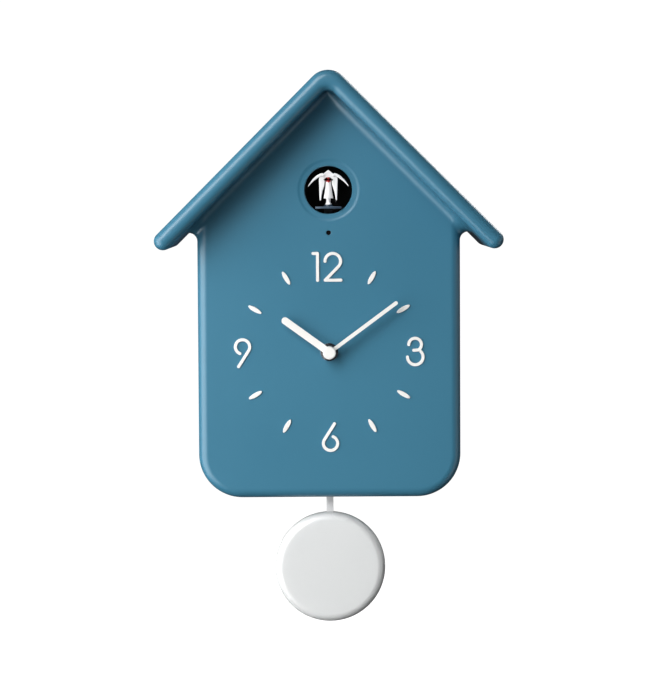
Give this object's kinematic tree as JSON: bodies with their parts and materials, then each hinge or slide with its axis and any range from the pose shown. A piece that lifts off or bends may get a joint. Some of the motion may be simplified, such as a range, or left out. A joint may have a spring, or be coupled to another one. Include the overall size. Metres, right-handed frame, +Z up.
{
  "type": "cuckoo clock",
  "caption": "Gabled wall cuckoo clock with a bird that slides out of a round opening, flapping wings, running hands, a swinging pendulum and a battery movement.",
  "frame": {"origin": "centre of the round entry of the keyhole, in the plane of the wall", "axes": "+X to the right of a viewer, -Y out of the front of the clock, +Y into the wall, +Z up"},
  "size_m": [0.2444, 0.12, 0.3936],
  "materials": {
    "case_blue": "gloss moulded blue ABS",
    "cover_grey": "fine matt texture",
    "white_trim": "gloss white plastic",
    "white_part": "satin white plastic",
    "ivory_gear": "natural acetal",
    "black_part": "matt black plastic",
    "red_beak": "gloss red plastic",
    "slate_part": "gloss dark blue-grey plastic",
    "screw_steel": "zinc-plated steel",
    "dark_metal": "black-plated metal",
    "spring_steel": "nickel-plated spring steel",
    "copper_wire": "enamelled copper wire",
    "brass_part": "turned brass",
    "board_green": "solder-masked glass-epoxy board",
    "cell_wrap": "plain sleeve of a battery cell",
    "sensor_clear": "clear resin",
    "cone_paper": "coated paper"
  },
  "bodies": {
    "case": {"housing": "case_blue", "back_cover": "cover_grey", "case_screws": "screw_steel", "numerals": "white_trim", "hour_marks": "white_trim", "bird_chamber": "black_part", "light_sensor": "sensor_clear", "main_board": "board_green", "board_parts": "black_part", "inner_screws": "screw_steel", "speaker_basket": "screw_steel", "speaker_magnet": "dark_metal", "speaker_cone": "cone_paper", "c_cells": "cell_wrap", "battery_springs": "spring_steel", "battery_contacts": "spring_steel", "movement_front": "black_part", "movement_back": "black_part", "dial_nut": "dark_metal", "dial_washer": "dark_metal", "stepper_coil": "copper_wire", "stepper_stator": "screw_steel", "guide_rails": "screw_steel", "bird_motor": "screw_steel", "pendulum_bracket": "white_part", "pendulum_pin": "screw_steel", "drive_coil": "copper_wire", "control_board": "board_green", "switch_bodies": "screw_steel"},
    "minute": {"minute_hand": "white_trim", "minute_arbor": "brass_part", "centre_cap": "white_trim"},
    "hour": {"hour_hand": "white_trim", "hour_wheel": "ivory_gear"},
    "motion": {"motion_wheel": "ivory_gear"},
    "knob": {"time_knob": "black_part"},
    "centre": {"centre_wheel": "ivory_gear"},
    "third": {"third_wheel": "ivory_gear"},
    "seconds": {"seconds_wheel": "ivory_gear"},
    "intermediate": {"intermediate_wheel": "ivory_gear"},
    "rotor": {"rotor": "dark_metal"},
    "pendulum": {"pendulum_hanger": "white_part", "pendulum_rod": "white_trim", "pendulum_bob": "white_trim", "pendulum_magnet": "spring_steel"},
    "bird": {"bird_carriage": "slate_part", "bird_body": "white_trim", "bird_eyes": "black_part", "beak_upper": "red_beak"},
    "beak": {"beak_lower": "red_beak"},
    "wing_left": {"wing_left": "white_trim"},
    "wing_right": {"wing_right": "white_trim"},
    "drive_gear": {"drive_gear": "ivory_gear"},
    "motor_pinion": {"motor_pinion": "brass_part"},
    "battery_door": {"battery_door": "cover_grey"},
    "volume_lever": {"volume_lever": "black_part"},
    "mode_lever": {"mode_lever": "black_part"},
    "test_button": {"test_button": "white_part"}
  },
  "joints": [
    {"name": "minute_turn", "type": "hinge", "parent": "case", "child": "minute", "pos_m": [0, -0.082, -0.15], "axis": [0, 1, 0], "continuous": true},
    {"name": "hour_turn", "type": "hinge", "parent": "case", "child": "hour", "pos_m": [0, -0.082, -0.15], "axis": [0, 1, 0], "continuous": true},
    {"name": "motion_turn", "type": "hinge", "parent": "case", "child": "motion", "pos_m": [-0.00873, -0.082, -0.15504], "axis": [0, 1, 0], "continuous": true},
    {"name": "knob_turn", "type": "hinge", "parent": "case", "child": "knob", "pos_m": [-0.01746, -0.082, -0.16008], "axis": [0, 1, 0], "continuous": true},
    {"name": "seconds_spin", "type": "hinge", "parent": "case", "child": "seconds", "pos_m": [0.0159, -0.082, -0.14117], "axis": [0, 1, 0], "continuous": true},
    {"name": "centre_spin", "type": "hinge", "parent": "case", "child": "centre", "pos_m": [0, -0.082, -0.15], "axis": [0, 1, 0], "continuous": true},
    {"name": "third_spin", "type": "hinge", "parent": "case", "child": "third", "pos_m": [0.0051, -0.082, -0.14117], "axis": [0, 1, 0], "continuous": true},
    {"name": "intermediate_spin", "type": "hinge", "parent": "case", "child": "intermediate", "pos_m": [0.0159, -0.082, -0.15167], "axis": [0, 1, 0], "continuous": true},
    {"name": "rotor_spin", "type": "hinge", "parent": "case", "child": "rotor", "pos_m": [0.0105, -0.082, -0.16102], "axis": [0, 1, 0], "continuous": true},
    {"name": "pendulum_swing", "type": "hinge", "parent": "case", "child": "pendulum", "pos_m": [0, -0.071, -0.188], "axis": [0, 1, 0], "range_deg": [-6, 6]},
    {"name": "bird_slide", "type": "slide", "parent": "case", "child": "bird", "axis": [0, 1, 0], "range_m": [0, 0.03]},
    {"name": "wing_left_turn", "type": "hinge", "parent": "bird", "child": "wing_left", "pos_m": [-0.00375, -0.091, -0.0249], "axis": [0, 1, 0], "range_deg": [-18, 12]},
    {"name": "wing_right_turn", "type": "hinge", "parent": "bird", "child": "wing_right", "pos_m": [0.00375, -0.091, -0.0249], "axis": [0, 1, 0], "range_deg": [-12, 18]},
    {"name": "beak_turn", "type": "hinge", "parent": "bird", "child": "beak", "pos_m": [0, -0.0903, -0.0291], "axis": [1, 0, 0], "range_deg": [-12, 8]},
    {"name": "drive_turn", "type": "hinge", "parent": "case", "child": "drive_gear", "pos_m": [0.0215, -0.042, -0.0613], "axis": [0, 0, 1], "continuous": true},
    {"name": "pinion_turn", "type": "hinge", "parent": "case", "child": "motor_pinion", "pos_m": [0.032, -0.042, -0.0613], "axis": [0, 0, 1], "continuous": true},
    {"name": "door_slide", "type": "slide", "parent": "case", "child": "battery_door", "axis": [0, 1, 0], "range_m": [0, 0.03]},
    {"name": "volume_slide", "type": "slide", "parent": "case", "child": "volume_lever", "axis": [0, 0, 1], "range_m": [-0.002, 0.002]},
    {"name": "mode_slide", "type": "slide", "parent": "case", "child": "mode_lever", "axis": [0, 0, 1], "range_m": [-0.002, 0.002]},
    {"name": "button_press", "type": "slide", "parent": "case", "child": "test_button", "axis": [0, -1, 0], "range_m": [0, 0.0015], "stiffness_N_per_m": 300}
  ],
  "couplings": [
    {"joint": "hour_turn", "follows": "minute_turn", "ratio": 0.083333},
    {"joint": "motion_turn", "follows": "minute_turn", "ratio": -0.33333},
    {"joint": "knob_turn", "follows": "minute_turn", "ratio": 1},
    {"joint": "rotor_spin", "follows": "intermediate_spin", "ratio": -5},
    {"joint": "seconds_spin", "follows": "intermediate_spin", "ratio": -0.16667},
    {"joint": "third_spin", "follows": "intermediate_spin", "ratio": 0.020833},
    {"joint": "centre_spin", "follows": "intermediate_spin", "ratio": -0.002778},
    {"joint": "wing_right_turn", "follows": "wing_left_turn", "ratio": -1},
    {"joint": "beak_turn", "follows": "wing_left_turn", "ratio": 0.66667},
    {"joint": "drive_turn", "follows": "bird_slide", "rad_per_m": -133.33},
    {"joint": "pinion_turn", "follows": "bird_slide", "rad_per_m": 333.33}
  ]
}
